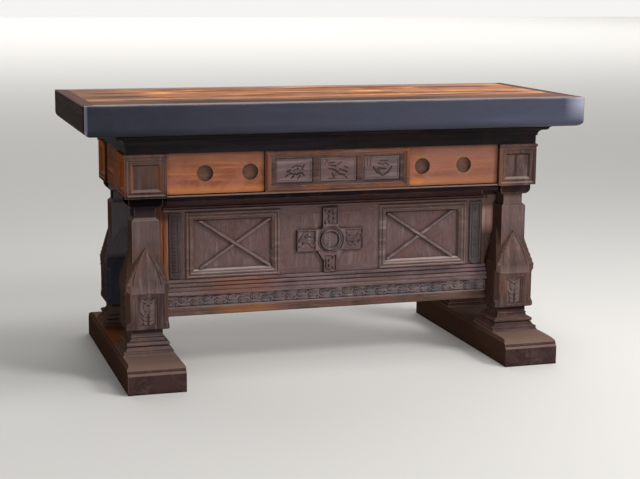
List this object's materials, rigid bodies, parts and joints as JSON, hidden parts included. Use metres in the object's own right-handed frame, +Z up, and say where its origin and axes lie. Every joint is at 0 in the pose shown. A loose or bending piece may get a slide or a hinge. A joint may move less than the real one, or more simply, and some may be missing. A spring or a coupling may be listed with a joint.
{
  "type": "communion table",
  "caption": "Carved sledge-foot communion table with gabled square posts, a cross-carved front panel, a moulded top and frieze drawers that slide.",
  "frame": {"origin": "on the floor under the middle of the table", "axes": "+X to the right along the table seen from its carved front, -Y out of the carved front, +Z up"},
  "size_m": [1.633, 0.816, 0.868],
  "materials": {
    "top_boards": "oiled reddish-brown boards with dark streaks, satin",
    "ebonised_wood": "blue-black stained wood, satin",
    "carcase_wood": "plain darkened wood, dull",
    "carved_oak": "dark fumed and waxed oak, carved",
    "foot_oak": "dark fumed oak, worn along the top",
    "warm_oak": "orange-brown waxed oak",
    "drawer_box_wood": "bare aged drawer wood, dull",
    "cup_wood": "dark turned wood, waxed"
  },
  "bodies": {
    "table": {"top_board_front": "top_boards", "top_board_middle": "top_boards", "top_board_back": "top_boards", "top_edge_front": "ebonised_wood", "top_edge_back": "ebonised_wood", "top_edge_left": "ebonised_wood", "top_edge_right": "ebonised_wood", "bearer_left": "carcase_wood", "bearer_middle": "carcase_wood", "bearer_right": "carcase_wood", "fascia_front": "ebonised_wood", "fascia_back": "ebonised_wood", "fascia_left": "ebonised_wood", "fascia_right": "ebonised_wood", "cornice": "ebonised_wood", "post_front_left": "carved_oak", "post_front_right": "carved_oak", "post_back_left": "carved_oak", "post_back_right": "carved_oak", "plinth_mouldings_left": "carved_oak", "plinth_mouldings_right": "carved_oak", "foot_left": "foot_oak", "foot_right": "foot_oak", "frieze_end_left": "warm_oak", "frieze_end_right": "warm_oak", "frieze_back": "carcase_wood", "drawer_rail": "carved_oak", "frieze_centre_panel": "carved_oak", "frieze_centre_mouldings": "warm_oak", "drawer_left_runners": "carcase_wood", "drawer_right_runners": "carcase_wood", "drawer_kickers": "carcase_wood", "panel_stile_left": "carved_oak", "panel_stile_right": "carved_oak", "panel_muntins": "carved_oak", "panel_top_rail": "carved_oak", "panel_bottom_rail": "carved_oak", "panel_field_left": "carved_oak", "panel_field_centre": "carved_oak", "panel_field_right": "carved_oak", "panel_field_mouldings": "warm_oak", "saltire_left": "carved_oak", "saltire_right": "carved_oak", "centre_cross": "carved_oak", "ledge_moulding": "carved_oak", "vine_strip": "carved_oak", "panel_base_moulding": "warm_oak", "carved_strips": "carved_oak", "scribe_strips": "warm_oak"},
    "drawer_left": {"drawer_left_front": "warm_oak", "drawer_left_sides": "drawer_box_wood", "drawer_left_back": "drawer_box_wood", "drawer_left_bottom": "drawer_box_wood", "drawer_left_cups": "cup_wood"},
    "drawer_right": {"drawer_right_front": "warm_oak", "drawer_right_sides": "drawer_box_wood", "drawer_right_back": "drawer_box_wood", "drawer_right_bottom": "drawer_box_wood", "drawer_right_cups": "cup_wood"}
  },
  "joints": [
    {"name": "drawer_left_slide", "type": "slide", "parent": "table", "child": "drawer_left", "axis": [0, -1, 0], "range_m": [0, 0.33]},
    {"name": "drawer_right_slide", "type": "slide", "parent": "table", "child": "drawer_right", "axis": [0, -1, 0], "range_m": [0, 0.33]}
  ]
}
